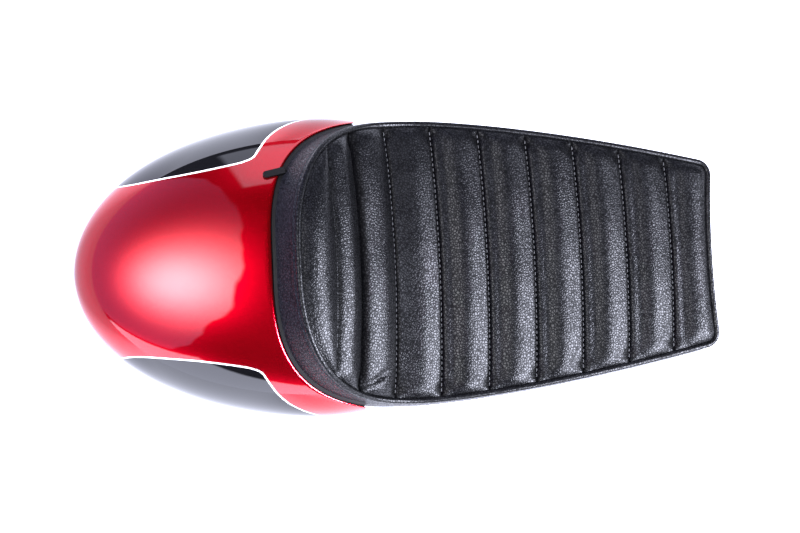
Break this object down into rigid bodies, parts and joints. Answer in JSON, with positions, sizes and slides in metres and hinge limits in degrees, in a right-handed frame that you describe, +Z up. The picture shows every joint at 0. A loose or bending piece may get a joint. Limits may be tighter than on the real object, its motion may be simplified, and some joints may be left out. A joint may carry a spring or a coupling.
{
  "type": "motorcycle cafe racer seat",
  "caption": "Single-rider cafe racer motorcycle seat: black channelled cushion with a raised back stop and piped edge, and a painted domed tail cowl on a moulded pan.",
  "frame": {"origin": "middle of the plan box, at the soles of the rubber buffers", "axes": "+X forward to the nose of the cushion, +Y to the rider's left, +Z up"},
  "size_m": [0.6585, 0.301, 0.1524],
  "materials": {
    "cowl_paint": "clear-coated metallic red with black side panels and a pale pinstripe",
    "pan_plastic": "moulded matt black",
    "foam": "open-cell foam",
    "cover_vinyl": "pebble-grained black vinyl",
    "rubber": "matt black rubber",
    "brass": "plain brass",
    "zinc_steel": "zinc-plated steel"
  },
  "bodies": {
    "root": {"tail_cowl": "cowl_paint", "base_pan": "pan_plastic", "foam_core": "foam", "cover_top_panel": "cover_vinyl", "cover_side_band": "cover_vinyl", "piping_welt": "cover_vinyl", "cowl_edge_trim": "rubber", "rubber_buffers": "rubber", "mount_inserts": "brass", "cowl_screws": "zinc_steel", "cowl_washers": "zinc_steel", "cowl_clip_nuts": "zinc_steel"}
  },
  "joints": []
}
